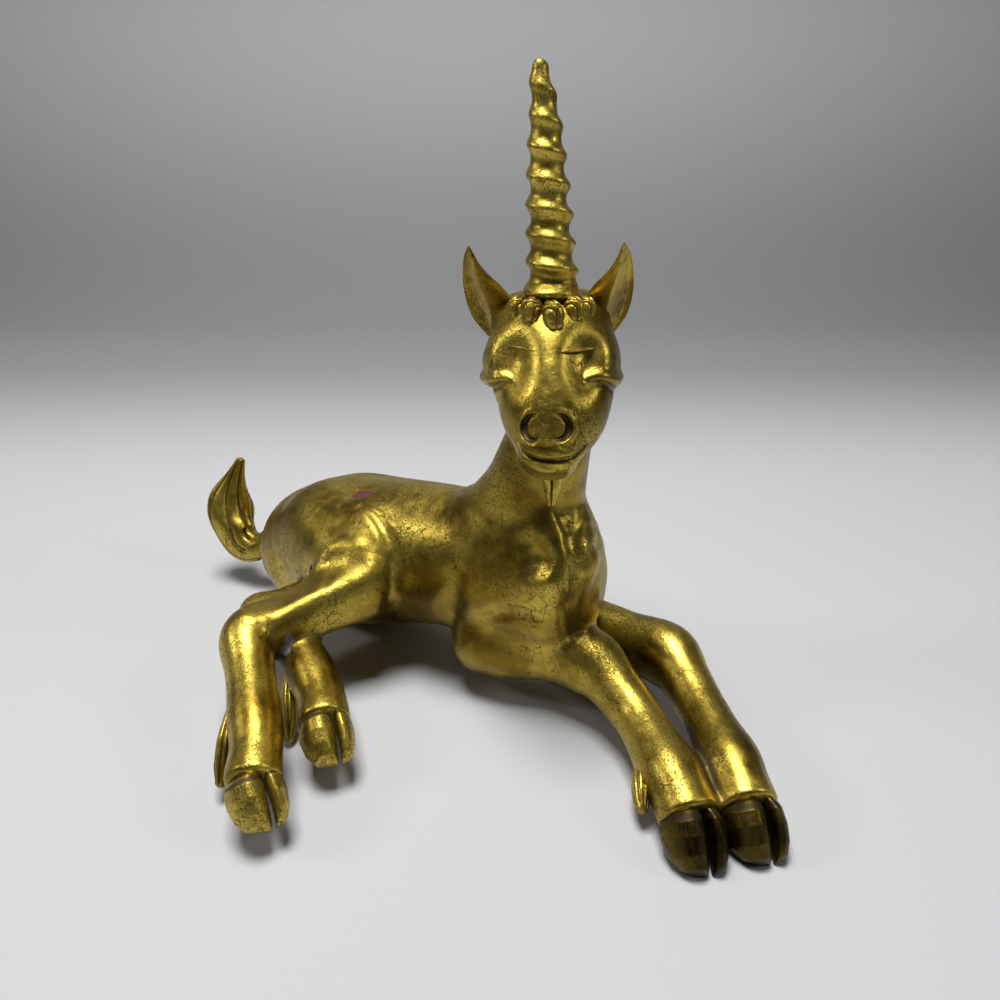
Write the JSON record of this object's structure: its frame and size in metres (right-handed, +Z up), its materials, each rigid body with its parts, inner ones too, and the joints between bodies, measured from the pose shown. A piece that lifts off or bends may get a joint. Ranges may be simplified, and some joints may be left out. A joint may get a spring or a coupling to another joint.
{
  "type": "unicorn figurine",
  "caption": "Gilded ceramic figurine of a unicorn foal lying down with its head raised, for display on a flat surface.",
  "frame": {"origin": "on the table, under the middle of the figure's bounding box", "axes": "+X from the rump towards the chest, +Y to the animal's left, +Z up from the table"},
  "size_m": [0.3118, 0.1742, 0.2383],
  "materials": {
    "gilded_body": "satin gold leaf over a red-brown bole, crackled and worn at the edges",
    "gilded_horn": "satin gold leaf, darkened in the spiral grooves",
    "gilded_hair": "satin gold leaf with dark lines between the strands",
    "gilded_hoof": "darker gold leaf with upright streaks"
  },
  "bodies": {
    "root": {"torso": "gilded_body", "neck": "gilded_body", "head": "gilded_body", "right_ear": "gilded_body", "left_ear": "gilded_body", "right_eyelid": "gilded_body", "left_eyelid": "gilded_body", "right_foreleg": "gilded_body", "left_foreleg": "gilded_body", "right_thigh": "gilded_body", "left_thigh": "gilded_body", "right_hindleg": "gilded_body", "left_hindleg": "gilded_body", "tail_dock": "gilded_body", "horn": "gilded_horn", "forelock": "gilded_hair", "beard": "gilded_hair", "right_fore_tuft": "gilded_hair", "left_fore_tuft": "gilded_hair", "right_hind_tuft": "gilded_hair", "left_hind_tuft": "gilded_hair", "tail_tuft": "gilded_hair", "right_fore_hoof": "gilded_hoof", "left_fore_hoof": "gilded_hoof", "right_hind_hoof": "gilded_hoof", "left_hind_hoof": "gilded_hoof"}
  },
  "joints": []
}
